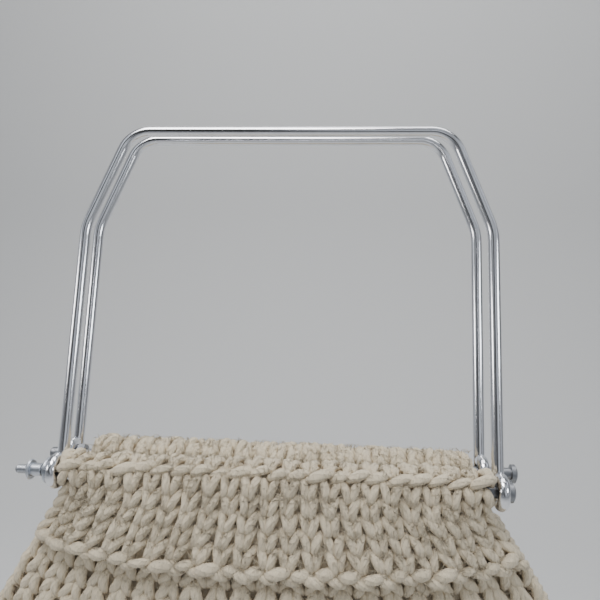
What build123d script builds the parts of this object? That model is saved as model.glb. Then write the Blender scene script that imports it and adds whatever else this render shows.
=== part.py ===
from build123d import *
from math import cos, pi, radians, sin, sqrt
import os

os.makedirs("parts", exist_ok=True)

# Knitted handbag with two wire bow handles. Each panel is knitted in one piece: its top turns
# outwards over a steel rod and hangs down in front as a short flap. The handles' eyes turn on
# the rods. Millimetres, +Z up, +X to the right as seen from the front, front towards -Y.
# The origin is the hanging point, between the two top bars at their underside.

# Bow handles
wire_diameter = 4.8
bow_height = 151.0
bow_top_half = 72.5
bow_elbow_height = 106.0
eye_spacing = 179.0
shoulder_bend = 13.0
elbow_bend = 24.0
bow_lean = 13.8
eye_overrun = 18.0
back_bow_shift = -3.0

# Rods and their fasteners
rod_diameter = 4.9
rod_spacing = 21.0
stub_diameter = 3.4
stub_length = 11.2
shoulder_outside_eye = 3.6
head_diameter = 7.8
head_height = 2.9
head_round = 1.3
head_dome = 1.9
slot_width = 1.1
slot_depth = 1.3
back_shank_showing = 9.5
back_rod_end = 4.0
end_chamfer = 0.5
washer_diameter = 10.8
washer_thickness = 1.2
barrel_diameter = 5.2
barrel_length = 4.4
flange_diameter = 8.4
flange_thickness = 1.3
nut_across_flats = 8.0
nut_height = 3.2

# Fits
running_clearance = 0.05
side_play = 0.3
cloth_clearance = 0.3

# Knitted panels
wales = 22
loop_height = 0.9
yarn_wall = 5.0
hem_radius = 6.4
belly_half = 134.0
belly_depth = 122.0
bag_depth_below_rods = 204.0
bottom_half = 62.0
mouth_bulge = 12.6
belly_bulge = 30.0
flap_length = 38.0
flap_thickness = 4.6
bump_height = 1.7
bump_length = 5.0
least_crown = 1.2
least_gap = 0.4
inner_steps = 8
inner_reach = 0.98
seam_strip = 4.0
seam_start = 16.0
seam_yarn_diameter = 3.2
seam_gap = 0.15
flare_start = 12.0
flare_power = 1.25
crown_power = 2.2
flap_squareness = 6.0
upper_steps = 4
lower_steps = 5

# Derived places
wire_radius = wire_diameter / 2
rod_radius = rod_diameter / 2
eye_hole_radius = rod_radius + running_clearance
eye_bend = eye_hole_radius + wire_radius
eye_half = eye_spacing / 2
eye_outer_face = eye_half + wire_radius
hem_half = eye_half - wire_radius - abs(back_bow_shift) - cloth_clearance
lean = radians(bow_lean)
bow_up = Vector(0, sin(lean), cos(lean))
bow_back = Vector(0, cos(lean), -sin(lean))
top_bar_rise = bow_up * bow_height + bow_back * eye_bend
rod_z = wire_radius - top_bar_rise.Z
mid_y = -top_bar_rise.Y
front_rod_y = mid_y - rod_spacing / 2
back_rod_y = mid_y + rod_spacing / 2


def finish(part, label):
    part.label = label
    export_step(part, f"parts/{label}.step")


# A bow handle is one wire: an eye curled forwards under and over the rod at each foot,
# a leg, an elbow, a sloping shoulder and the level top bar.
def bow_plane(rod_y, shift):
    start = Vector(shift, rod_y, rod_z) + bow_back * eye_bend
    return Plane(origin=start, x_dir=(1, 0, 0), z_dir=-bow_back)


def make_bow(rod_y, shift):
    plane = bow_plane(rod_y, shift)
    eye_axis = Axis((shift, rod_y, rod_z), (-1, 0, 0))
    with BuildPart() as bow:
        with BuildLine(plane) as path:
            FilletPolyline(
                (-eye_half, 0),
                (-eye_half, bow_elbow_height),
                (-bow_top_half, bow_height),
                (bow_top_half, bow_height),
                (eye_half, bow_elbow_height),
                (eye_half, 0),
                radius=[elbow_bend, shoulder_bend, shoulder_bend, elbow_bend],
            )
        foot = path.line @ 0
        with BuildSketch(Plane(origin=foot, x_dir=(1, 0, 0), z_dir=path.line % 0)):
            Circle(wire_radius)
        sweep(path=path.line)
        for side in (-1, 1):
            leg_foot = plane.from_local_coords(Vector(side * eye_half, 0, 0))
            with BuildSketch(Plane(origin=leg_foot, x_dir=(1, 0, 0), z_dir=bow_up)):
                Circle(wire_radius)
            revolve(axis=eye_axis, revolution_arc=270 + eye_overrun)
    return bow.part


front_handle = make_bow(front_rod_y, 0)
finish(front_handle, "front_handle")
back_handle = make_bow(back_rod_y, back_bow_shift)
finish(back_handle, "back_handle")


# A rod is turned from one bar: slotted pan head at the right, smooth shank, threaded end at the left.
def rod_section_plane(rod_y):
    return Plane(origin=(0, rod_y, rod_z), x_dir=(1, 0, 0), z_dir=(0, -1, 0))


def make_rod(rod_y, head_x, shank_end, slot_angle, stub=0.0):
    head_radius = head_diameter / 2
    head_end = head_x + head_height
    with BuildPart() as rod:
        with BuildSketch(rod_section_plane(rod_y)):
            with BuildLine():
                Polyline(
                    (head_end, 0),
                    (shank_end, 0),
                    (shank_end, rod_radius - end_chamfer),
                    (shank_end + end_chamfer, rod_radius),
                    (head_x, rod_radius),
                    (head_x, head_radius),
                    (head_end - head_round, head_radius),
                )
                RadiusArc((head_end - head_round, head_radius), (head_end, 0), head_radius * head_dome)
            make_face()
        revolve(axis=Axis((0, rod_y, rod_z), (1, 0, 0)))
        if stub:
            with BuildSketch(Plane(origin=(shank_end, rod_y, rod_z), z_dir=(-1, 0, 0))):
                Circle(stub_diameter / 2)
            extrude(amount=stub)
            chamfer(rod.faces().sort_by(Axis.X)[0].edges(), end_chamfer)
        slot_plane = Plane(origin=(head_end, rod_y, rod_z), z_dir=(1, 0, 0)).rotated((0, 0, slot_angle))
        with BuildSketch(slot_plane):
            Rectangle(slot_width, head_diameter + slot_width)
        extrude(amount=-slot_depth, mode=Mode.SUBTRACT)
    return rod.part


front_shoulder_x = -eye_outer_face - shoulder_outside_eye
front_rod = make_rod(front_rod_y, eye_outer_face + side_play, front_shoulder_x, 35, stub_length)
finish(front_rod, "front_rod")

back_eye_left = back_bow_shift - eye_outer_face
back_eye_right = back_bow_shift + eye_outer_face
back_nut_left_x = back_eye_left - side_play - nut_height
back_end_x = back_nut_left_x - back_rod_end
back_rod = make_rod(back_rod_y, back_eye_right + back_shank_showing, back_end_x, 80)
finish(back_rod, "back_rod")


# Washer, barrel nut and hex nuts
washer_x = -eye_outer_face - side_play
with BuildPart() as front_washer:
    with BuildSketch(Plane(origin=(washer_x, front_rod_y, rod_z), z_dir=(-1, 0, 0))):
        Circle(washer_diameter / 2)
        Circle(rod_radius + running_clearance, mode=Mode.SUBTRACT)
    extrude(amount=washer_thickness)
    chamfer(front_washer.edges().filter_by(GeomType.CIRCLE).group_by(SortBy.RADIUS)[-1], washer_thickness / 4)
finish(front_washer.part, "front_washer")

with BuildPart() as front_end_nut:
    barrel_end = front_shoulder_x - barrel_length
    with BuildSketch(rod_section_plane(front_rod_y)):
        with BuildLine():
            Polyline(
                (front_shoulder_x, stub_diameter / 2 + running_clearance),
                (front_shoulder_x, barrel_diameter / 2 - end_chamfer / 2),
                (front_shoulder_x - end_chamfer / 2, barrel_diameter / 2),
                (barrel_end, barrel_diameter / 2),
                (barrel_end, flange_diameter / 2 - flange_thickness / 4),
                (barrel_end - flange_thickness / 2, flange_diameter / 2),
                (barrel_end - flange_thickness, flange_diameter / 2 - flange_thickness / 2),
                (barrel_end - flange_thickness, stub_diameter / 2 + running_clearance),
                close=True,
            )
        make_face()
    revolve(axis=Axis((0, front_rod_y, rod_z), (1, 0, 0)))
finish(front_end_nut.part, "front_end_nut")


def make_hex_nut(right_x, rod_y):
    corner_radius = nut_across_flats / sqrt(3)
    with BuildPart() as nut:
        with BuildSketch(Plane(origin=(right_x, rod_y, rod_z), z_dir=(-1, 0, 0))):
            RegularPolygon(corner_radius, 6)
        extrude(amount=nut_height)
        with BuildSketch(rod_section_plane(rod_y)):
            with BuildLine():
                Polyline(
                    (right_x, 0),
                    (right_x, nut_across_flats / 2),
                    (right_x - end_chamfer, corner_radius),
                    (right_x - nut_height + end_chamfer, corner_radius),
                    (right_x - nut_height, nut_across_flats / 2),
                    (right_x - nut_height, 0),
                    close=True,
                )
            make_face()
        revolve(axis=Axis((0, rod_y, rod_z), (1, 0, 0)), mode=Mode.INTERSECT)
        with BuildSketch(Plane(origin=(right_x, rod_y, rod_z), z_dir=(-1, 0, 0))):
            Circle(rod_radius + running_clearance)
        extrude(amount=nut_height, mode=Mode.SUBTRACT)
    return nut.part


back_inner_nut = make_hex_nut(back_eye_left + wire_diameter + side_play + nut_height, back_rod_y)
finish(back_inner_nut, "back_inner_nut")
back_outer_nut = make_hex_nut(back_eye_left - side_play, back_rod_y)
finish(back_outer_nut, "back_outer_nut")


# The bag's outline. Depths are measured down from the rods, and bulges out from the mid plane.
def half_width(depth):
    if depth < belly_depth:
        flare = max(0.0, depth - flare_start) / (belly_depth - flare_start)
        return hem_half + (belly_half - hem_half) * sin(pi / 2 * flare) ** flare_power
    below = (depth - belly_depth) / (bag_depth_below_rods - belly_depth)
    return bottom_half + (belly_half - bottom_half) * sqrt(max(0.0, 1 - below**2))


def wall_bulge(depth):
    if depth < belly_depth:
        return mouth_bulge + (belly_bulge - mouth_bulge) * sin(pi / 2 * depth / belly_depth)
    below = (depth - belly_depth) / (bag_depth_below_rods - belly_depth)
    return yarn_wall + least_crown + (belly_bulge - yarn_wall - least_crown) * cos(pi / 2 * below)


def rim_bulge(depth):
    opening = max(0.0, 1 - depth / seam_start)
    return yarn_wall + (mouth_bulge - least_crown - yarn_wall) * opening


def face_bulge(depth, share, extra):
    flatness = crown_power + flap_squareness * max(0.0, 1 - depth / flap_length)
    crown = wall_bulge(depth) - rim_bulge(depth)
    return rim_bulge(depth) + crown * (1 - abs(share) ** flatness) + extra


# One level of a panel: scalloped outside, one scallop to a wale, smooth inside, and a flat
# strip at each side that lies against the other panel.
def panel_section(depth, side, extra):
    half = half_width(depth)
    opening = max(0.0, 1 - depth / seam_start)
    strip_y = mid_y + side * opening * (mouth_bulge - yarn_wall)
    outer = []
    for step in range(2 * wales + 1):
        share = step / wales - 1
        bulge = face_bulge(depth, share, extra) + loop_height * (step % 2)
        outer.append((share * half, mid_y + side * bulge))
    inner = []
    for step in range(inner_steps + 1):
        share = inner_reach * (1 - 2 * step / inner_steps)
        gap = max(face_bulge(depth, share, 0) - yarn_wall, least_gap)
        inner.append((share * (half - seam_strip), mid_y + side * gap))
    with BuildSketch(Plane.XY.offset(rod_z - depth)) as section:
        with BuildLine():
            for wale in range(wales):
                ThreePointArc(*outer[2 * wale : 2 * wale + 3])
            Polyline(outer[-1], (half, strip_y), (half - seam_strip, strip_y), inner[0])
            Polyline(*inner)
            Polyline(inner[-1], (seam_strip - half, strip_y), (-half, strip_y), outer[0])
        make_face()
    return section.sketch


# The levels of a panel: down the flap, over its ridge of bumps, then evenly down the wall
# to the belly and closer together as the sides turn in towards the bottom.
ridge_top = flap_length - bump_length
flap_levels = [0, flare_start, (flare_start + ridge_top) / 2, ridge_top - bump_height / 2]
bump_levels = [ridge_top + bump_length / 4, flap_length - bump_length / 4]
wall_start = flap_length + bump_height / 2
below_belly = bag_depth_below_rods - belly_depth
wall_levels = [wall_start + (belly_depth - wall_start) * step / upper_steps for step in range(upper_steps + 1)]
for step in range(1, lower_steps + 1):
    wall_levels.append(belly_depth + below_belly * sin(pi / 2 * step / lower_steps))


def make_panel(side, rod_y):
    with BuildPart() as panel:
        sections = []
        for depth in flap_levels:
            sections.append(panel_section(depth, side, flap_thickness))
        for depth in bump_levels:
            sections.append(panel_section(depth, side, flap_thickness + bump_height))
        for depth in wall_levels:
            sections.append(panel_section(depth, side, 0))
        loft(sections, ruled=True)
        wale_width = 2 * hem_half / wales
        with BuildSketch(rod_section_plane(rod_y)):
            with BuildLine():
                for wale in range(wales):
                    left = -hem_half + wale * wale_width
                    ThreePointArc(
                        (left, hem_radius),
                        (left + wale_width / 2, hem_radius + loop_height),
                        (left + wale_width, hem_radius),
                    )
                Polyline((hem_half, hem_radius), (hem_half, 0), (-hem_half, 0), (-hem_half, hem_radius))
            make_face()
        revolve(axis=Axis((0, rod_y, rod_z), (1, 0, 0)))
        with BuildSketch(Plane(origin=(-belly_half, rod_y, rod_z), z_dir=(1, 0, 0))):
            Circle(rod_radius + cloth_clearance)
        extrude(amount=2 * belly_half, mode=Mode.SUBTRACT)
    return panel.part


front_panel = make_panel(-1, front_rod_y)
finish(front_panel, "front_panel")
back_panel = make_panel(1, back_rod_y)
finish(back_panel, "back_panel")


# The sewing yarn runs round the rims of both panels, down one side, along the bottom and up.
def outside_rim(levels, outside):
    rim = [Vector(half_width(depth), rod_z - depth) for depth in levels]
    after_last = Vector(0, rod_z - bag_depth_below_rods)
    points = []
    for index, corner in enumerate(rim):
        ahead = (rim[index + 1] if index + 1 < len(rim) else after_last) - corner
        behind = corner - rim[index - 1] if index else ahead
        bisector = (ahead.normalized() + behind.normalized()).normalized()
        reach = outside / cos(radians(ahead.get_angle(behind)) / 2)
        outward = Vector(-bisector.Y, bisector.X) * reach
        points.append((corner.X + outward.X, corner.Y + outward.Y))
    return points


seam_levels = [d for d in flap_levels + bump_levels + wall_levels if d >= seam_start]
with BuildPart() as seam_yarn:
    yarn_radius = seam_yarn_diameter / 2
    right_side = outside_rim(seam_levels, yarn_radius + seam_gap)
    left_side = [(-x, z) for x, z in right_side]
    with BuildLine(Plane(origin=(0, mid_y, 0), x_dir=(1, 0, 0), z_dir=(0, -1, 0))) as yarn_path:
        FilletPolyline(*left_side, *reversed(right_side), radius=seam_yarn_diameter)
    with BuildSketch(Plane(origin=yarn_path.line @ 0, z_dir=yarn_path.line % 0)):
        Circle(yarn_radius)
    sweep(path=yarn_path.line)
finish(seam_yarn.part, "seam_yarn")
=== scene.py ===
import random
from math import atan2, cos, floor, pi, radians, sin, sqrt

import bmesh
import bpy
from mathutils import Matrix, Vector


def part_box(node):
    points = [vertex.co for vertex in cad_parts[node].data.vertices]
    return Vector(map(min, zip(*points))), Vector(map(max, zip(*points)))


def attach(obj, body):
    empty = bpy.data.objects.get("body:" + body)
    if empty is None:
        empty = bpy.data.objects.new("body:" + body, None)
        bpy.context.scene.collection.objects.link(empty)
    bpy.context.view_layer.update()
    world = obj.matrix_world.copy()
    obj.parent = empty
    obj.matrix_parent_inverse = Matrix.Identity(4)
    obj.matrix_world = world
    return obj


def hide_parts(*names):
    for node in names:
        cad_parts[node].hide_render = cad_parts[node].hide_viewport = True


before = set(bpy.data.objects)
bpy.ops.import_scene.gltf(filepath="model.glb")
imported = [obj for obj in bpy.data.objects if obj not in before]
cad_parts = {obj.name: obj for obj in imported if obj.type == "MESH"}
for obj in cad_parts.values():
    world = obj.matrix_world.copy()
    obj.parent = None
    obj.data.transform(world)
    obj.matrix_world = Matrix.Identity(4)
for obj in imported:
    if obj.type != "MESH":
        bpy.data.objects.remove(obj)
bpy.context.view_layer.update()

bl_info = {
    "name": "Knitted Handbag",
    "version": (1, 0, 0),
    "blender": (4, 5, 0),
    "location": "View3D > Sidebar > Handbag",
    "description": "Dresses the frame of a knitted handbag with two wire handles",
    "category": "Object",
}

MM = 0.001

# The rods' own places, read from the frame
ROD_LOW, ROD_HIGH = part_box("front_rod")
BACK_ROD_LOW, BACK_ROD_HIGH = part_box("back_rod")
ROD_Z = (ROD_LOW[2] + ROD_HIGH[2]) / 2
FRONT_ROD_Y = (ROD_LOW[1] + ROD_HIGH[1]) / 2
BACK_ROD_Y = (BACK_ROD_LOW[1] + BACK_ROD_HIGH[1]) / 2
MID_Y = (FRONT_ROD_Y + BACK_ROD_Y) / 2
SIDES = {"front": -1, "back": 1}
PANEL_SEEDS = {"front": 17, "back": 29}

# The bag's outline, in the part's own values. Only the flare differs: it starts 5 mm higher than
# the part's and opens sooner, so that the fabric widens right below the handles' eyes.
HEM_HALF = 83.8 * MM
BELLY_HALF = 134 * MM
BELLY_DEPTH = 122 * MM
BAG_DEPTH = 204 * MM
BOTTOM_HALF = 62 * MM
MOUTH_BULGE = 12.6 * MM
BELLY_BULGE = 30 * MM
WALL = 5 * MM
LEAST_CROWN = 1.2 * MM
SEAM_START = 16 * MM
FLARE_START = 7 * MM
FLARE_POWER = 1.02
CROWN_POWER = 2.2
FLAP_SQUARENESS = 6
HEM_RADIUS = 6.4 * MM
FLAP_LENGTH = 38 * MM
FLAP_THICKNESS = 4.6 * MM

# How much of its length the flap really hangs at its rims, and how much more in its middle
FLAP_HANG_AT_RIMS = 0.80
FLAP_EXTRA_SAG = 0.13

# The cloth behind the stitches: how far its middle lies behind the face, how thick it is, and the
# share of the panel's width that it fills
BACKING_DEPTH = 2.0 * MM
BACKING_THICKNESS = 1.6 * MM
CLOTH_WIDTH = 0.98
CLOTH_OFF_ROD = 0.5 * MM

# The room left between the outermost legs and the hem's ends, by the handles' eyes. The front
# bow's eyes stand a little wide of the hem, and the fabric swells out to them.
RIM_ROOM = {-1: -1.5 * MM, 1: 3.4 * MM}
# How much deeper a leg sinks for each share that it would lie past a rim
RIM_SINK = 12 * MM

# Where the rows of stitches lie. Each row on the fold has its angle round the rod in degrees,
# counted from the outside, and its height as a share of a full row.
STITCH_FACE = FLAP_THICKNESS + 0.9 * MM
WALL_STITCH_FACE = 0.9 * MM
WALL_FIBRE_FACE = 1.7 * MM
FOLD_ROWS = ((166, 0.85), (132, 0.85), (100, 0.7))
FOLD_WILDNESS = 1.7
BAR_ANGLE = 66
FLAP_ROWS = 5
FIRST_FLAP_ROW = -2.6 * MM
RIDGE_ABOVE_EDGE = 7.4 * MM
RIDGE_HEIGHT = 5.6 * MM
WALL_START = 0.8 * FLAP_LENGTH - 5 * MM

# How far hand-made stitches stray, as standard deviations at full unevenness: across the wale and
# down the row in stitches, proud in millimetres, and the rest as shares
STRAY_ACROSS = 0.05
STRAY_DOWN = 0.09
STRAY_PROUD = 0.5
STRAY_THICKNESS = 0.1
STRAY_ROW_LEAN = 0.04
STRAY_LEAN = 0.07
STRAY_REACH = 0.08
YARN_LUMPS = 0.045
YARN_FLATNESS = 0.9

# The whip stitches of the seam
SEAM_PITCH = 3.7 * MM
SEAM_YARN_RADIUS = 1.75 * MM
SEAM_SLANT = 4.6 * MM
SEAM_WRAP = 105
SEAM_OUTWARD = 3.4 * MM
SEAM_INSET = 1.9 * MM
SEAM_HALF_THICKNESS = 5.6 * MM
SEAM_STEPS = 80

# The threads of the rods' ends
FRONT_STUB_RADIUS = 1.7 * MM
BACK_ROD_RADIUS = 2.45 * MM
THREAD_END = 0.6 * MM
THREAD_ROOT = 0.1 * MM
THREAD_HEIGHT = 0.16 * MM
THREAD_STEPS = 24


class HandbagYarn(bpy.types.PropertyGroup):
    wales: bpy.props.IntProperty(
        name="Wales",
        description="Columns of stitches across each panel",
        default=22,
        min=8,
        max=40,
    )
    row_height: bpy.props.FloatProperty(
        name="Row height",
        description="Height of one row of stitches",
        default=6.6 * MM,
        unit="LENGTH",
    )
    loose_fibres: bpy.props.IntProperty(
        name="Loose fibres",
        description="Fibres that stand off each flap and each wall",
        default=2600,
        min=0,
    )
    yarn_radius: bpy.props.FloatProperty(
        name="Yarn radius",
        description="Radius of the yarn in a leg of a stitch",
        default=1.78 * MM,
        unit="LENGTH",
    )
    unevenness: bpy.props.FloatProperty(
        name="Unevenness",
        description="How far hand-made stitches stray",
        default=0.6,
        min=0,
        max=1,
        subtype="FACTOR",
    )
    cotton: bpy.props.FloatVectorProperty(
        name="Cotton",
        description="Colour of the yarn in the light",
        default=(0.785, 0.68, 0.5),
        size=3,
        subtype="COLOR",
    )
    # The colour of the painted shade where the yarn dives between the stitches and on its underside
    painted_crease_shade: bpy.props.FloatVectorProperty(
        name="Crease",
        description="Colour deep between the stitches",
        default=(0.36, 0.265, 0.17),
        size=3,
        subtype="COLOR",
    )


class HandbagMetal(bpy.types.PropertyGroup):
    wire: bpy.props.FloatVectorProperty(
        name="Wire",
        description="Colour of the bright wire",
        default=(0.83, 0.84, 0.87),
        size=3,
        subtype="COLOR",
    )
    dark_zinc: bpy.props.FloatVectorProperty(
        name="Dark zinc",
        description="Colour of the rods",
        default=(0.30, 0.31, 0.33),
        size=3,
        subtype="COLOR",
    )
    bright_zinc: bpy.props.FloatVectorProperty(
        name="Bright zinc",
        description="Colour of the washer and nuts",
        default=(0.60, 0.63, 0.68),
        size=3,
        subtype="COLOR",
    )
    thread_pitch: bpy.props.FloatProperty(
        name="Thread pitch",
        description="Pitch of the rods' threads",
        default=0.6 * MM,
        unit="LENGTH",
    )


class HandbagStage(bpy.types.PropertyGroup):
    backdrop: bpy.props.FloatVectorProperty(
        name="Backdrop",
        description="Colour of the backdrop",
        default=(0.67, 0.675, 0.675),
        size=3,
        subtype="COLOR",
    )
    key_power: bpy.props.FloatProperty(
        name="Key light",
        description="Power of the light overhead",
        default=7.2,
        min=0,
        unit="POWER",
    )
    backdrop_power: bpy.props.FloatProperty(
        name="Backdrop light",
        description="Power of the light on the backdrop",
        default=19.0,
        min=0,
        unit="POWER",
    )


# How the fabric lies. A run is measured down the outside of a panel from the level of its rod,
# and is negative on the fold over the rod. A share goes from -1 at the left rim to 1 at the right.
def half_width(depth):
    if depth < BELLY_DEPTH:
        flare = max(0.0, depth - FLARE_START) / (BELLY_DEPTH - FLARE_START)
        return HEM_HALF + (BELLY_HALF - HEM_HALF) * sin(pi / 2 * flare) ** FLARE_POWER
    below = min(1.0, (depth - BELLY_DEPTH) / (BAG_DEPTH - BELLY_DEPTH))
    return BOTTOM_HALF + (BELLY_HALF - BOTTOM_HALF) * sqrt(1 - below**2)


def wall_bulge(depth):
    if depth < BELLY_DEPTH:
        return MOUTH_BULGE + (BELLY_BULGE - MOUTH_BULGE) * sin(pi / 2 * depth / BELLY_DEPTH)
    below = min(1.0, (depth - BELLY_DEPTH) / (BAG_DEPTH - BELLY_DEPTH))
    return WALL + LEAST_CROWN + (BELLY_BULGE - WALL - LEAST_CROWN) * cos(pi / 2 * below)


def face_bulge(depth, share):
    opening = max(0.0, 1 - depth / SEAM_START)
    rim = WALL + (MOUTH_BULGE - LEAST_CROWN - WALL) * opening
    flatness = CROWN_POWER + FLAP_SQUARENESS * max(0.0, 1 - depth / FLAP_LENGTH)
    return rim + (wall_bulge(depth) - rim) * (1 - min(1.0, abs(share)) ** flatness)


def flap_drop(share):
    """How much of its length the flap really hangs there: it sags most in its middle."""
    return FLAP_HANG_AT_RIMS + FLAP_EXTRA_SAG * (1 - min(1.0, abs(share)) ** 2)


def face_point(side, run, share, proud):
    """A point on the face of a panel, proud of the wall's own face by that much."""
    if run < 0:
        turn = -run / HEM_RADIUS
        reach = HEM_RADIUS + proud - FLAP_THICKNESS
        rod_y = MID_Y + side * (BACK_ROD_Y - MID_Y)
        y = rod_y + side * reach * cos(turn)
        return Vector((share * HEM_HALF, y, ROD_Z + reach * sin(turn)))
    bulge = face_bulge(run, share) + proud
    return Vector((share * half_width(run), MID_Y + side * bulge, ROD_Z - run))


def face_normal(side, run, share, proud):
    """The direction straight out of the face at that point."""
    step, share_step = 0.4 * MM, 0.004
    below = face_point(side, run + step, share, proud)
    above = face_point(side, run - step, share, proud)
    right = face_point(side, run, share + share_step, proud)
    left = face_point(side, run, share - share_step, proud)
    normal = (below - above).cross(right - left).normalized()
    turn = max(0.0, -run / HEM_RADIUS)
    outward = Vector((0, side * cos(turn), sin(turn)))
    return normal if normal.dot(outward) > 0 else -normal


class YarnLength:
    """One length of yarn, made once and laid again for each leg of each stitch."""

    def __init__(self, sides, rings, with_crease_shade=True):
        bm = bmesh.new()
        bmesh.ops.create_cone(bm, cap_ends=True, segments=sides, radius1=1, radius2=1, depth=1)
        bmesh.ops.translate(bm, verts=bm.verts, vec=(0, 0, 0.5))
        for ring in range(1, rings):
            whole = bm.verts[:] + bm.edges[:] + bm.faces[:]
            cut = (0, 0, ring / rings)
            bmesh.ops.bisect_plane(bm, geom=whole, plane_co=cut, plane_no=(0, 0, 1))
        uv = bm.loops.layers.uv.new("yarn_uv")
        for face in bm.faces:
            middle = face.calc_center_median()
            turn = atan2(middle.y, middle.x)
            for loop in face.loops:
                own = atan2(loop.vert.co.y, loop.vert.co.x) - turn
                own -= 2 * pi * floor(own / (2 * pi) + 0.5)
                loop[uv].uv = ((turn + own) / (2 * pi), loop.vert.co.z)
        # Painted shade: the crease mask darkens the underside of the yarn, where it lies against
        # the fabric, and both its ends, where it dives in between the stitches.
        painted_crease_shade = bm.verts.layers.float.new("painted_crease_shade")
        for vert in bm.verts:
            under = max(0.0, 0.42 - 0.55 * vert.co.y)
            ends = 0.75 * abs(2 * vert.co.z - 1) ** 3
            vert[painted_crease_shade] = min(1.0, under + ends) if with_crease_shade else 0
        bmesh.ops.recalc_face_normals(bm, faces=bm.faces)
        self.rings = rings
        self.mesh = bpy.data.meshes.new("yarn_length")
        bm.to_mesh(self.mesh)
        bm.free()
        self.places = [(round(v.co.z * rings), v.co.x, v.co.y) for v in self.mesh.vertices]

    def lay(self, bm, rng, spine, outward, radii):
        """One more length of yarn in bm, along the points of spine, its back away from outward."""
        first = len(bm.verts)
        bm.from_mesh(self.mesh)
        bm.verts.ensure_lookup_table()
        frames = []
        for ring in range(self.rings + 1):
            ahead = spine[min(ring + 1, self.rings)] - spine[max(ring - 1, 0)]
            across = ahead.cross(outward[ring]).normalized()
            frames.append((spine[ring], across, across.cross(ahead).normalized(), radii[ring]))
        for index, (ring, cosine, sine) in enumerate(self.places):
            centre, across, up, radius = frames[ring]
            lump = radius * (1 + rng.gauss(0, YARN_LUMPS))
            off = across * cosine + up * (YARN_FLATNESS * sine)
            bm.verts[first + index].co = centre + off * lump


def mesh_object(name, bm, material):
    """A smooth-shaded object from bm, linked to the scene."""
    mesh = bpy.data.meshes.new(name)
    bm.to_mesh(mesh)
    bm.free()
    mesh.polygons.foreach_set("use_smooth", [True] * len(mesh.polygons))
    mesh.materials.append(material)
    obj = bpy.data.objects.new(name, mesh)
    bpy.context.scene.collection.objects.link(obj)
    return obj


# The ways that yarn lies in a stitch. Each gives, for a place from 0 to 1 along the yarn, how far
# it is across the wale and down the row in stitches, how proud of the face in millimetres, and
# its thickness as a share. Hand is -1 for the left leg of a stitch and 1 for the right.
def leg_point_up(place, hand):
    out = 0.05 + 0.33 * sin(pi / 2 * min(1.0, place / 0.75)) - 1.4 * max(0.0, place - 0.75) ** 2
    full = sin(pi * min(1.0, 0.1 + 0.85 * place))
    proud = -3.0 + 2.9 * sin(pi * place) ** 0.55
    return hand * out, -0.24 + 1.52 * place, proud, 0.68 + 0.32 * full


def leg_point_down(place, hand):
    across, down, proud, fullness = leg_point_up(place, hand)
    return across, 1 - down, proud, fullness


def bar_over_fold(place, hand):
    swell = sin(pi * place)
    across, down = (place - 0.5) * 1.55, 0.5 - 0.75 * (place - 0.5)
    return across, down, -3.2 + 3.3 * swell**0.6, 0.62 + 0.45 * swell


def ridge_bump(place, hand):
    swell = sin(pi * place)
    if hand > 0:
        across, down = (place - 0.5) * 1.06, 0.42 - 0.5 * (place - 0.5)
        return across, down, -3.0 + 3.1 * swell**0.6, 0.7 + 0.5 * swell
    across, down = 0.45 + (place - 0.5) * 0.85, 0.8 + 0.5 * (place - 0.5)
    return across, down, -3.2 + 2.6 * swell**0.6, 0.7 + 0.35 * swell


def lay_row(
    bm,
    yarn,
    settings,
    rng,
    side,
    run,
    height,
    proud,
    way,
    hands=(-1, 1),
    thick=1.0,
    flap=False,
    wild=1.0,
):
    """One row of stitches across a panel, its upper edge at run, its face proud by that much."""
    wales = settings.wales
    stray = settings.unevenness * wild
    for wale in range(wales):
        middle = (2 * wale + 1) / wales - 1
        skew = 0.0
        if way is leg_point_up:
            skew = 0.17 * max(-0.5, min(1.0, 0.45 + 1.1 * side * middle))
        drop = flap_drop(middle) if flap else 1.0
        row_lean = rng.gauss(0, STRAY_ROW_LEAN) * stray
        for hand in hands:
            shift_across = rng.gauss(0, STRAY_ACROSS) * stray
            shift_down = rng.gauss(0, STRAY_DOWN) * stray
            shift_proud = rng.gauss(0, STRAY_PROUD) * stray * MM
            fat = thick * (1 + rng.gauss(0, STRAY_THICKNESS) * stray)
            lean = row_lean + rng.gauss(0, STRAY_LEAN) * stray - skew
            reach = 1 + rng.gauss(0, STRAY_REACH) * stray
            spine, outward, radii = [], [], []
            for ring in range(yarn.rings + 1):
                across, down, rise, fullness = way(ring / yarn.rings, hand)
                across = across * reach + shift_across + lean * (down - 0.3)
                share = middle + 2 * across / wales
                past_rim = max(0.0, abs(share) - 1)
                at = run + (down + shift_down) * height
                at *= drop if at > 0 else 1
                width = half_width(max(0.0, at))
                share = max(-1.0, min(1.0, share)) * (1 - RIM_ROOM[side] / width)
                lift = rise * MM + shift_proud - past_rim * RIM_SINK
                normal = face_normal(side, at, share, proud)
                spine.append(face_point(side, at, share, proud) + normal * lift)
                outward.append(normal)
                spread = 0.55 + 0.45 * (width / HEM_HALF)
                radii.append(settings.yarn_radius * fullness * fat * spread)
            yarn.lay(bm, rng, spine, outward, radii)


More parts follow.
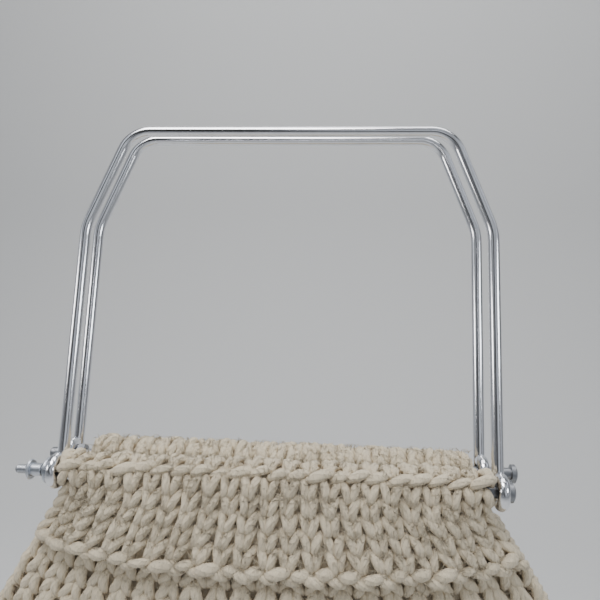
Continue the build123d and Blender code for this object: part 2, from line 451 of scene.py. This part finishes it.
def lay_fibres(bm, fibre, settings, rng, side, runs, proud):
    """Loose fibres that curl up off the stitches between two runs."""
    on_flap = runs[0] < 0
    for _ in range(settings.loose_fibres):
        run = rng.uniform(*runs)
        share = rng.uniform(-0.97, 0.97)
        run = run * flap_drop(share) if run > 0 and on_flap else run
        root = face_point(side, run, share, proud)
        normal = face_normal(side, run, share, proud)
        along = Vector((rng.gauss(0, 1), 0, rng.gauss(0, 1))).cross(normal).normalized()
        sideways = along.cross(normal)
        bend = sideways * rng.gauss(0, 0.9) * MM
        length = rng.uniform(1.4, 4.2) * MM
        rise = rng.uniform(0.5, 1.5) * MM
        up = sideways.cross(along).normalized()
        spine, outward, radii = [], [], []
        for ring in range(fibre.rings + 1):
            place = ring / fibre.rings
            flat = root + along * length * place + bend * place**2
            spine.append(flat + normal * rise * sin(2.2 * place))
            outward.append(up)
            radii.append((0.17 - 0.11 * place) * MM)
        fibre.lay(bm, rng, spine, outward, radii)


# Shader groups that several finishes share
def new_group(name, inputs, outputs):
    tree = bpy.data.node_groups.new(name, "ShaderNodeTree")
    for label, kind, value in inputs:
        socket = tree.interface.new_socket(label, in_out="INPUT", socket_type=kind)
        socket.default_value = value
    for label, kind in outputs:
        tree.interface.new_socket(label, in_out="OUTPUT", socket_type=kind)
    return tree, tree.nodes.new("NodeGroupInput"), tree.nodes.new("NodeGroupOutput")


def add_node(tree, kind, **settings):
    node = tree.nodes.new(kind)
    for label, value in settings.items():
        setattr(node, label, value)
    return node


def math_node(tree, operation, first, second=None, clamp=False):
    node = add_node(tree, "ShaderNodeMath", operation=operation, use_clamp=clamp)
    for socket, value in zip(node.inputs, (first, second)):
        if value is None:
            continue
        if isinstance(value, (int, float)):
            socket.default_value = value
        else:
            tree.links.new(value, socket)
    return node.outputs[0]


def noise_node(tree, vector, scale, detail=3.0, roughness=0.55):
    node = add_node(tree, "ShaderNodeTexNoise")
    node.inputs["Scale"].default_value = scale
    node.inputs["Detail"].default_value = detail
    node.inputs["Roughness"].default_value = roughness
    tree.links.new(vector, node.inputs["Vector"])
    return node.outputs["Fac"]


def cotton_group():
    """Fibres and plies of cotton yarn: a shade that varies, with painted shade in the grooves, and
    a height for bump.
    """
    inputs = [
        ("Plies", "NodeSocketFloat", 6.0),
        ("Turns", "NodeSocketFloat", 2.5),
        ("Fibre Scale", "NodeSocketFloat", 1300.0),
    ]
    tree, entry, out = new_group(
        "cotton_fibres", inputs, [("Shade", "NodeSocketFloat"), ("Height", "NodeSocketFloat")]
    )
    coordinates = add_node(tree, "ShaderNodeTexCoord")
    uv = add_node(tree, "ShaderNodeSeparateXYZ")
    tree.links.new(coordinates.outputs["UV"], uv.inputs[0])
    around = math_node(tree, "MULTIPLY", uv.outputs[0], entry.outputs["Plies"])
    along = math_node(tree, "MULTIPLY", uv.outputs[1], entry.outputs["Turns"])
    wander = noise_node(tree, coordinates.outputs["Object"], 420, 2)
    wobble = math_node(tree, "MULTIPLY", wander, 0.5)
    phase = math_node(tree, "ADD", math_node(tree, "ADD", around, along), wobble)
    wave = math_node(tree, "SINE", math_node(tree, "MULTIPLY", phase, pi))
    ply = math_node(tree, "ABSOLUTE", wave)
    stretched = add_node(tree, "ShaderNodeVectorMath", operation="MULTIPLY")
    stretched.inputs[1].default_value = (1.0, 1.0, 0.22)
    tree.links.new(coordinates.outputs["Object"], stretched.inputs[0])
    fibre_node = add_node(tree, "ShaderNodeTexNoise")
    fibre_node.inputs["Detail"].default_value = 4
    fibre_node.inputs["Roughness"].default_value = 0.65
    tree.links.new(stretched.outputs[0], fibre_node.inputs["Vector"])
    tree.links.new(entry.outputs["Fibre Scale"], fibre_node.inputs["Scale"])
    fibre = fibre_node.outputs["Fac"]
    patch = noise_node(tree, coordinates.outputs["Object"], 95, 3)
    # The shade is partly random tone from the patches and partly painted shade: it follows the
    # bump's height, so the ply grooves and fibre hollows come out darker.
    ply_part = math_node(tree, "MULTIPLY", math_node(tree, "POWER", ply, 0.6), 0.17)
    height = math_node(tree, "ADD", ply_part, math_node(tree, "MULTIPLY", fibre, 0.9))
    hollow_shade_part = math_node(tree, "MULTIPLY", height, 0.75)
    shade = math_node(tree, "ADD", hollow_shade_part, math_node(tree, "MULTIPLY", patch, 0.5))
    tree.links.new(shade, out.inputs["Shade"])
    tree.links.new(height, out.inputs["Height"])
    return tree


def metal_group():
    """Fine scratches and smears of handled metal: a shade, a roughness and a height."""
    inputs = [
        ("Streak Scale", "NodeSocketFloat", 900.0),
        ("Least Roughness", "NodeSocketFloat", 0.16),
        ("Roughness Range", "NodeSocketFloat", 0.2),
    ]
    outputs = [
        ("Shade", "NodeSocketFloat"),
        ("Roughness", "NodeSocketFloat"),
        ("Height", "NodeSocketFloat"),
    ]
    tree, entry, out = new_group("handled_metal", inputs, outputs)
    coordinates = add_node(tree, "ShaderNodeTexCoord")
    stretched = add_node(tree, "ShaderNodeVectorMath", operation="MULTIPLY")
    stretched.inputs[1].default_value = (1.0, 1.0, 0.05)
    tree.links.new(coordinates.outputs["Object"], stretched.inputs[0])
    streak_node = add_node(tree, "ShaderNodeTexNoise")
    streak_node.inputs["Detail"].default_value = 3
    tree.links.new(stretched.outputs[0], streak_node.inputs["Vector"])
    tree.links.new(entry.outputs["Streak Scale"], streak_node.inputs["Scale"])
    streak = streak_node.outputs["Fac"]
    smear = noise_node(tree, coordinates.outputs["Object"], 70, 4)
    streak_part = math_node(tree, "MULTIPLY", streak, 0.5)
    shade = math_node(tree, "ADD", streak_part, math_node(tree, "MULTIPLY", smear, 0.5))
    spread = math_node(tree, "MULTIPLY", shade, entry.outputs["Roughness Range"])
    rough = math_node(tree, "ADD", spread, entry.outputs["Least Roughness"])
    tree.links.new(shade, out.inputs["Shade"])
    tree.links.new(rough, out.inputs["Roughness"])
    tree.links.new(streak, out.inputs["Height"])
    return tree


def shared_group(name, maker):
    return bpy.data.node_groups.get(name) or maker()


def new_material(name):
    material = bpy.data.materials.new(name)
    material.use_nodes = True
    tree = material.node_tree
    return material, tree, tree.nodes["Principled BSDF"]


def colour_ramp(tree, factor, stops):
    ramp = add_node(tree, "ShaderNodeValToRGB")
    while len(ramp.color_ramp.elements) < len(stops):
        ramp.color_ramp.elements.new(0.5)
    for element, (place, colour) in zip(ramp.color_ramp.elements, stops):
        element.position = place
        element.color = (*colour, 1)
    tree.links.new(factor, ramp.inputs[0])
    return ramp.outputs[0]


def mixed(tree, factor, first, second):
    mix = add_node(tree, "ShaderNodeMix", data_type="RGBA")
    tree.links.new(factor, mix.inputs["Factor"])
    for socket, value in ((mix.inputs[6], first), (mix.inputs[7], second)):
        if isinstance(value, tuple):
            socket.default_value = value
        else:
            tree.links.new(value, socket)
    return mix.outputs[2]


def darker(colour, share):
    return tuple(part * share for part in colour)


def cotton_material(name, settings, tone=1.0, with_crease_shade=True):
    material, tree, shader = new_material(name)
    group = add_node(tree, "ShaderNodeGroup", node_tree=shared_group("cotton_fibres", cotton_group))
    cotton = tuple(settings.cotton)
    stops = [
        (0.36, darker(cotton, 0.68 * tone)),
        (0.60, darker(cotton, 1.02 * tone)),
        (0.82, darker(cotton, 1.2 * tone)),
    ]
    colour = colour_ramp(tree, group.outputs["Shade"], stops)
    # Painted shade: the crease colour is mixed into the yarn where the crease mask is high.
    if with_crease_shade:
        attribute = add_node(tree, "ShaderNodeAttribute", attribute_name="painted_crease_shade")
        crease_shade_amount = math_node(tree, "POWER", attribute.outputs["Fac"], 1.9, clamp=True)
        colour = mixed(tree, crease_shade_amount, colour, (*settings.painted_crease_shade, 1))
    tree.links.new(colour, shader.inputs["Base Color"])
    shader.inputs["Roughness"].default_value = 0.92
    shader.inputs["Specular IOR Level"].default_value = 0.25
    shader.inputs["Sheen Weight"].default_value = 0.25
    shader.inputs["Sheen Roughness"].default_value = 0.6
    bump = add_node(tree, "ShaderNodeBump")
    bump.inputs["Strength"].default_value = 1.0
    bump.inputs["Distance"].default_value = 0.0014
    tree.links.new(group.outputs["Height"], bump.inputs["Height"])
    tree.links.new(bump.outputs[0], shader.inputs["Normal"])
    return material


def metal_material(name, colour, least_roughness, spread, bump_strength=0.1):
    material, tree, shader = new_material(name)
    group = add_node(tree, "ShaderNodeGroup", node_tree=shared_group("handled_metal", metal_group))
    group.inputs["Least Roughness"].default_value = least_roughness
    group.inputs["Roughness Range"].default_value = spread
    stops = [(0.3, darker(colour, 0.9)), (0.5, tuple(colour)), (0.7, darker(colour, 1.04))]
    tree.links.new(colour_ramp(tree, group.outputs["Shade"], stops), shader.inputs["Base Color"])
    tree.links.new(group.outputs["Roughness"], shader.inputs["Roughness"])
    shader.inputs["Metallic"].default_value = 1
    bump = add_node(tree, "ShaderNodeBump")
    bump.inputs["Strength"].default_value = bump_strength
    bump.inputs["Distance"].default_value = 0.0002
    tree.links.new(group.outputs["Height"], bump.inputs["Height"])
    tree.links.new(bump.outputs[0], shader.inputs["Normal"])
    return material


def paint_node(name, material):
    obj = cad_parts[name]
    if not obj.material_slots:
        obj.data.materials.append(material)
    for material_slot in obj.material_slots:
        material_slot.material = material


def cloth_point(side, place, share):
    """A point on the middle of a panel's cloth.

    The cloth runs up the wall, over the rod and down again as the flap. Place goes from 0 at the
    bag's bottom to 1 at the flap's edge.
    """
    fold = pi * (HEM_RADIUS - BACKING_DEPTH + FLAP_THICKNESS * 0.2)
    whole = BAG_DEPTH + fold + FLAP_LENGTH
    at = place * whole
    inner = HEM_RADIUS - BACKING_DEPTH + CLOTH_OFF_ROD
    if at < BAG_DEPTH:
        depth = BAG_DEPTH - at
        point = face_point(side, depth, share, -BACKING_DEPTH)
        near_rod = max(0.0, 1 - depth / (16 * MM)) ** 2
        rod_side = MID_Y + side * (BACK_ROD_Y - MID_Y - inner)
        point.y += (rod_side - point.y) * near_rod
        return point
    if at < BAG_DEPTH + fold:
        turn = pi * (1 - (at - BAG_DEPTH) / fold)
        rod_y = MID_Y + side * (BACK_ROD_Y - MID_Y)
        y = rod_y + side * inner * cos(turn)
        return Vector((share * HEM_HALF, y, ROD_Z + inner * sin(turn)))
    depth = min(FLAP_LENGTH - 1.5 * MM, at - BAG_DEPTH - fold) * flap_drop(share)
    return face_point(side, depth, share, FLAP_THICKNESS - BACKING_DEPTH + 0.2 * MM)


def make_cloth(which, settings):
    """The plain cloth behind a panel's stitches, which stands for the panel."""
    side = SIDES[which]
    lining_name = f"cream_cotton_back_of_stitches_{which}"
    # Painted shade: the cloth behind the stitches is a little darker than the yarn (tone 0.95), for
    # the shade in the holes between the stitches.
    lining = cotton_material(lining_name, settings, tone=0.95, with_crease_shade=False)
    bm = bmesh.new()
    bmesh.ops.create_grid(bm, x_segments=66, y_segments=120, size=1)
    for vert in bm.verts:
        vert.co = cloth_point(side, (vert.co.y + 1) / 2, vert.co.x * CLOTH_WIDTH)
    bmesh.ops.recalc_face_normals(bm, faces=bm.faces)
    cloth = mesh_object(f"{which}_panel_cloth", bm, lining)
    solid = cloth.modifiers.new("thickness", "SOLIDIFY")
    solid.thickness = BACKING_THICKNESS
    solid.offset = 0
    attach(cloth, "bag")
    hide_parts(f"{which}_panel")
    return cloth


def make_flap(which, settings, rng, yarn, fibre, cotton):
    """The stitches over the rod, on the flap and along its ridge."""
    side = SIDES[which]
    height = settings.row_height
    bm = bmesh.new()

    def row(run, row_height, proud, way, **more):
        lay_row(bm, yarn, settings, rng, side, run, row_height, STITCH_FACE + proud, way, **more)

    for angle, share_of_row in FOLD_ROWS:
        run = -radians(angle) * HEM_RADIUS
        row(run, share_of_row * height, 0, leg_point_up, wild=FOLD_WILDNESS)
    bars = -radians(BAR_ANGLE) * HEM_RADIUS
    bar_look = {"hands": (1,), "thick": 1.12, "wild": FOLD_WILDNESS}
    row(bars, 0.72 * height, 0.2 * MM, bar_over_fold, **bar_look)
    flap_row = (FLAP_LENGTH - 6.6 * MM - FIRST_FLAP_ROW) / FLAP_ROWS
    for number in range(FLAP_ROWS):
        run = FIRST_FLAP_ROW + number * flap_row
        row(run, flap_row, 0, leg_point_up, thick=1.05, flap=True)
    ridge = FLAP_LENGTH - RIDGE_ABOVE_EDGE
    row(ridge, RIDGE_HEIGHT, 0.6 * MM, ridge_bump, thick=1.12, flap=True, wild=1.4)
    runs = (-2.6 * HEM_RADIUS, FLAP_LENGTH - 2 * MM)
    lay_fibres(bm, fibre, settings, rng, side, runs, STITCH_FACE + 0.8 * MM)
    flap = mesh_object(f"{which}_flap_stitches", bm, cotton)
    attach(flap, "bag")
    return flap


def make_wall(which, settings, rng, yarn, fibre, cotton):
    """The stitches of the wall, from under the flap to the bottom."""
    side = SIDES[which]
    height = settings.row_height
    bm = bmesh.new()
    rows = round((BAG_DEPTH - WALL_START) / height)
    wall_row = (BAG_DEPTH - WALL_START) / rows
    for number in range(rows):
        run = WALL_START + number * wall_row
        lay_row(
            bm,
            yarn,
            settings,
            rng,
            side,
            run,
            wall_row,
            WALL_STITCH_FACE,
            leg_point_down,
            thick=1.14,
        )
    runs = (WALL_START + 2 * height, BAG_DEPTH - 4 * MM)
    lay_fibres(bm, fibre, settings, rng, side, runs, WALL_FIBRE_FACE)
    wall = mesh_object(f"{which}_wall_stitches", bm, cotton)
    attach(wall, "bag")
    return wall


def make_panel(which, settings):
    rng = random.Random(PANEL_SEEDS[which])
    yarn = YarnLength(8, 7)
    fibre = YarnLength(3, 3, with_crease_shade=False)
    cotton = cotton_material(f"cream_cotton_{which}", settings)
    cloth = make_cloth(which, settings)
    flap = make_flap(which, settings, rng, yarn, fibre, cotton)
    wall = make_wall(which, settings, rng, yarn, fibre, cotton)


class HANDBAG_OT_panels(bpy.types.Operator):
    """Knit both panels of the bag, stitch by stitch"""

    bl_idname = "handbag.panels"
    bl_label = "Knitted Panels"

    def execute(self, context):
        for which in SIDES:
            make_panel(which, context.scene.handbag_yarn)
        return {"FINISHED"}


def lay_whip_stitch(bm, yarn, rng, centre, ahead, outward, flip):
    """One stitch round the edges of both panels. Flip is -1 for the left side, 1 for the right."""
    spine, radii = [], []
    for ring in range(yarn.rings + 1):
        place = ring / yarn.rings
        turn = radians(-SEAM_WRAP + 2 * SEAM_WRAP * ring / yarn.rings)
        along = ahead.normalized() * (SEAM_SLANT * (place - 0.5))
        off = outward * (SEAM_OUTWARD * cos(turn) - SEAM_INSET)
        spot = centre + along + (off + Vector((0, SEAM_HALF_THICKNESS * sin(turn), 0)))
        spine.append(Vector((flip * spot.x, spot.y, spot.z)))
        radii.append(SEAM_YARN_RADIUS * (1 + rng.gauss(0, 0.03)))
    away = [Vector((flip * outward.x, 0, outward.z)) for _ in spine]
    yarn.lay(bm, rng, spine, away, radii)


class HANDBAG_OT_seam(bpy.types.Operator):
    """Sew the panels together down the sides and along the bottom"""

    bl_idname = "handbag.seam"
    bl_label = "Seam Stitches"

    def execute(self, context):
        settings = context.scene.handbag_yarn
        cotton = cotton_material("cream_sewing_cotton", settings, 0.94)
        yarn = YarnLength(8, 6)
        rng = random.Random(41)
        corners = []
        for step in range(SEAM_STEPS + 1):
            down = sin(pi / 2 * step / SEAM_STEPS)
            depth = SEAM_START + (BAG_DEPTH - SEAM_START) * down
            corners.append(Vector((half_width(depth), MID_Y, ROD_Z - depth)))
        corners.append(Vector((0, MID_Y, ROD_Z - BAG_DEPTH)))
        bm = bmesh.new()
        for flip in (-1, 1):
            rest = 0.0
            for first, second in zip(corners, corners[1:]):
                ahead = second - first
                outward = Vector((-ahead.z, 0, ahead.x)).normalized()
                while rest < ahead.length:
                    centre = first + ahead * (rest / ahead.length)
                    lay_whip_stitch(bm, yarn, rng, centre, ahead, outward, flip)
                    rest += SEAM_PITCH * (1 + rng.gauss(0, 0.05))
                rest -= ahead.length
        seam = mesh_object("seam_stitches", bm, cotton)
        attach(seam, "bag")
        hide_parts("seam_yarn")
        return {"FINISHED"}


class HANDBAG_OT_handles(bpy.types.Operator):
    """Finish the two wire bow handles"""

    bl_idname = "handbag.handles"
    bl_label = "Wire Handles"

    def execute(self, context):
        colour = context.scene.handbag_metal.wire
        wire = metal_material("bright_drawn_wire", colour, 0.07, 0.14, 0.03)
        for node in ("front_handle", "back_handle"):
            paint_node(node, wire)
        return {"FINISHED"}


def make_thread(name, left, right, rod_y, radius, pitch, material):
    """A thread cut on the end of a rod, from its left end up to the nut."""
    turns = int((right - left - 2 * THREAD_END) / pitch)
    start = left + THREAD_END
    low = radius - THREAD_ROOT
    corners = [
        (start, low),
        (start + 0.5 * pitch, radius + THREAD_HEIGHT),
        (start + pitch, low),
    ]
    bm = bmesh.new()
    verts = [bm.verts.new((x, rod_y, ROD_Z + z)) for x, z in corners]
    edges = [bm.edges.new(pair) for pair in ((verts[0], verts[1]), (verts[1], verts[2]))]
    bmesh.ops.spin(
        bm,
        geom=verts + edges,
        cent=(0, rod_y, ROD_Z),
        axis=(1, 0, 0),
        dvec=(pitch / THREAD_STEPS, 0, 0),
        angle=2 * pi * turns,
        steps=THREAD_STEPS * turns,
    )
    open_edges = [edge for edge in bm.edges if edge.is_boundary]
    bmesh.ops.holes_fill(bm, edges=open_edges, sides=4)
    bmesh.ops.recalc_face_normals(bm, faces=bm.faces)
    thread = mesh_object(name, bm, material)
    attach(thread, "bag")


class HANDBAG_OT_hardware(bpy.types.Operator):
    """Finish the rods, washer and nuts, and cut the rods' threads"""

    bl_idname = "handbag.hardware"
    bl_label = "Rods and Nuts"

    def execute(self, context):
        settings = context.scene.handbag_metal
        dark = metal_material("dull_dark_zinc", settings.dark_zinc, 0.3, 0.25, 0.3)
        bright = metal_material("bluish_bright_zinc", settings.bright_zinc, 0.2, 0.25, 0.2)
        for node in ("front_rod", "back_rod", "back_inner_nut"):
            paint_node(node, dark)
        for node in ("front_washer", "front_end_nut", "back_outer_nut"):
            paint_node(node, bright)
        front_nut, back_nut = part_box("front_end_nut")[0][0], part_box("back_outer_nut")[0][0]
        pitch = settings.thread_pitch
        front = (ROD_LOW[0], front_nut, FRONT_ROD_Y, FRONT_STUB_RADIUS)
        back = (BACK_ROD_LOW[0], back_nut, BACK_ROD_Y, BACK_ROD_RADIUS)
        make_thread("front_rod_thread", *front, pitch, bright)
        make_thread("back_rod_thread", *back, pitch, dark)
        return {"FINISHED"}


# The stage. The camera stands where the photograph was taken from.
CAMERA_PLACE = (0.0299, -0.2836, -0.0528)
CAMERA_YAW, CAMERA_PITCH, CAMERA_ROLL = radians(4.88), radians(-4.27), radians(0.97)
LENS = 36
FRAME_WIDTH = 36
AIM = Vector((0, -0.03, -0.1))
BACKDROP_AIM = Vector((0, 1.3, -0.1))
BACKDROP_Y = 1.3
FLOOR_Z = -0.52
BACKDROP_TOP = 3.0
BACKDROP_BEND = 0.6
BACKDROP_HALF = 4.0
PLAIN_WORLD = (0.43, 0.435, 0.44, 1)
ROOM_STOPS = [
    (0.38, (0.03, 0.028, 0.026)),
    (0.50, (0.34, 0.35, 0.37)),
    (0.60, (0.62, 0.65, 0.70)),
    (0.68, (1.5, 1.6, 1.75)),
]


def place_camera():
    yaw, pitch, roll = CAMERA_YAW, CAMERA_PITCH, CAMERA_ROLL
    ahead = Vector((-sin(yaw) * cos(pitch), cos(yaw) * cos(pitch), sin(pitch)))
    level = Vector((cos(yaw), sin(yaw), 0))
    upright = level.cross(ahead)
    right = level * cos(roll) + upright * sin(roll)
    up = upright * cos(roll) - level * sin(roll)
    data = bpy.data.cameras.new("camera")
    data.lens = LENS
    data.sensor_width = FRAME_WIDTH
    data.sensor_fit = "HORIZONTAL"
    data.clip_start = 0.01
    camera = bpy.data.objects.new("camera", data)
    rotation = Matrix((right, up, -ahead)).transposed().to_4x4()
    camera.matrix_world = Matrix.Translation(CAMERA_PLACE) @ rotation
    bpy.context.scene.collection.objects.link(camera)
    bpy.context.scene.camera = camera


def make_backdrop(colour):
    """The plain backdrop: it hangs upright and bends forwards at its foot."""
    material, _, shader = new_material("pale_backdrop")
    shader.inputs["Base Color"].default_value = (*colour, 1)
    shader.inputs["Roughness"].default_value = 0.9
    bm = bmesh.new()
    bend_z = FLOOR_Z + BACKDROP_BEND
    verts = [bm.verts.new((-BACKDROP_HALF, BACKDROP_Y, z)) for z in (BACKDROP_TOP, bend_z)]
    bm.edges.new(verts)
    curve = bmesh.ops.spin(
        bm,
        geom=[verts[1]],
        cent=(0, BACKDROP_Y - BACKDROP_BEND, bend_z),
        axis=(1, 0, 0),
        angle=-pi / 2,
        steps=24,
    )
    last = curve["geom_last"][0]
    bm.edges.new((last, bm.verts.new((-BACKDROP_HALF, -BACKDROP_HALF, last.co.z))))
    strip = bmesh.ops.extrude_edge_only(bm, edges=bm.edges[:])
    moved = [item for item in strip["geom"] if isinstance(item, bmesh.types.BMVert)]
    bmesh.ops.translate(bm, verts=moved, vec=(2 * BACKDROP_HALF, 0, 0))
    bmesh.ops.recalc_face_normals(bm, faces=bm.faces)
    mesh_object("backdrop", bm, material)


def place_light(name, place, aim, size, power, colour):
    data = bpy.data.lights.new(name, "AREA")
    data.shape = "RECTANGLE"
    data.size = size
    data.size_y = 0.6 * size
    data.energy = power
    data.color = colour
    light = bpy.data.objects.new(name, data)
    turn = (aim - Vector(place)).to_track_quat("-Z", "Y").to_matrix().to_4x4()
    light.matrix_world = Matrix.Translation(place) @ turn
    bpy.context.scene.collection.objects.link(light)


def make_world():
    """Soft daylight: uneven for reflections, and plain where the camera sees it."""
    world = bpy.data.worlds.new("soft_daylight")
    world.use_nodes = True
    tree = world.node_tree
    direction = add_node(tree, "ShaderNodeTexCoord").outputs["Generated"]
    upright = add_node(tree, "ShaderNodeVectorMath", operation="MULTIPLY")
    upright.inputs[1].default_value = (1.0, 1.0, 0.45)
    tree.links.new(direction, upright.inputs[0])
    room = noise_node(tree, upright.outputs[0], 2.6, 2)
    around = tree.nodes["Background"]
    tree.links.new(colour_ramp(tree, room, ROOM_STOPS), around.inputs["Color"])
    around.inputs["Strength"].default_value = 0.8
    plain = add_node(tree, "ShaderNodeBackground")
    plain.inputs["Color"].default_value = PLAIN_WORLD
    seen = add_node(tree, "ShaderNodeMixShader")
    light_path = add_node(tree, "ShaderNodeLightPath")
    tree.links.new(light_path.outputs["Is Camera Ray"], seen.inputs[0])
    tree.links.new(around.outputs[0], seen.inputs[1])
    tree.links.new(plain.outputs[0], seen.inputs[2])
    tree.links.new(seen.outputs[0], tree.nodes["World Output"].inputs["Surface"])
    return world


class HANDBAG_OT_stage(bpy.types.Operator):
    """Set up the backdrop, the lights and the camera"""

    bl_idname = "handbag.stage"
    bl_label = "Stage"

    def execute(self, context):
        settings = context.scene.handbag_stage
        place_camera()
        make_backdrop(settings.backdrop)
        key = settings.key_power
        warm, cool, mild = (1.0, 0.985, 0.96), (0.93, 0.97, 1.0), (1.0, 0.98, 0.95)
        place_light("key_light", (-0.22, -0.42, 0.8), AIM, 0.6, key, warm)
        place_light("right_light", (0.75, -0.45, 0.15), AIM, 0.35, 0.2 * key, cool)
        place_light("left_light", (-0.8, -0.35, 0.1), AIM, 0.3, 0.16 * key, mild)
        power = settings.backdrop_power
        place_light("backdrop_light", (0, 0.25, 1.5), BACKDROP_AIM, 1.6, power, (1.0, 1.0, 1.0))
        context.scene.world = make_world()
        return {"FINISHED"}


class HANDBAG_PT_panel(bpy.types.Panel):
    bl_label = "Knitted Handbag"
    bl_idname = "HANDBAG_PT_panel"
    bl_space_type = "VIEW_3D"
    bl_region_type = "UI"
    bl_category = "Handbag"

    def draw(self, context):
        layout = self.layout
        for operator in OPERATORS:
            layout.operator(operator.bl_idname)
        for group in ("handbag_yarn", "handbag_metal", "handbag_stage"):
            settings = getattr(context.scene, group)
            for label in settings.__annotations__:
                layout.prop(settings, label)


GROUPS = (HandbagYarn, HandbagMetal, HandbagStage)
OPERATORS = (
    HANDBAG_OT_stage,
    HANDBAG_OT_panels,
    HANDBAG_OT_seam,
    HANDBAG_OT_handles,
    HANDBAG_OT_hardware,
)


def register():
    for cls in GROUPS + OPERATORS + (HANDBAG_PT_panel,):
        bpy.utils.register_class(cls)
    bpy.types.Scene.handbag_yarn = bpy.props.PointerProperty(type=HandbagYarn)
    bpy.types.Scene.handbag_metal = bpy.props.PointerProperty(type=HandbagMetal)
    bpy.types.Scene.handbag_stage = bpy.props.PointerProperty(type=HandbagStage)


def unregister():
    del bpy.types.Scene.handbag_stage
    del bpy.types.Scene.handbag_metal
    del bpy.types.Scene.handbag_yarn
    for cls in reversed(GROUPS + OPERATORS + (HANDBAG_PT_panel,)):
        bpy.utils.unregister_class(cls)


def main():
    register()
    bpy.ops.handbag.stage()
    bpy.ops.handbag.panels()
    bpy.ops.handbag.seam()
    bpy.ops.handbag.handles()
    bpy.ops.handbag.hardware()


if __name__ == "__main__":
    main()
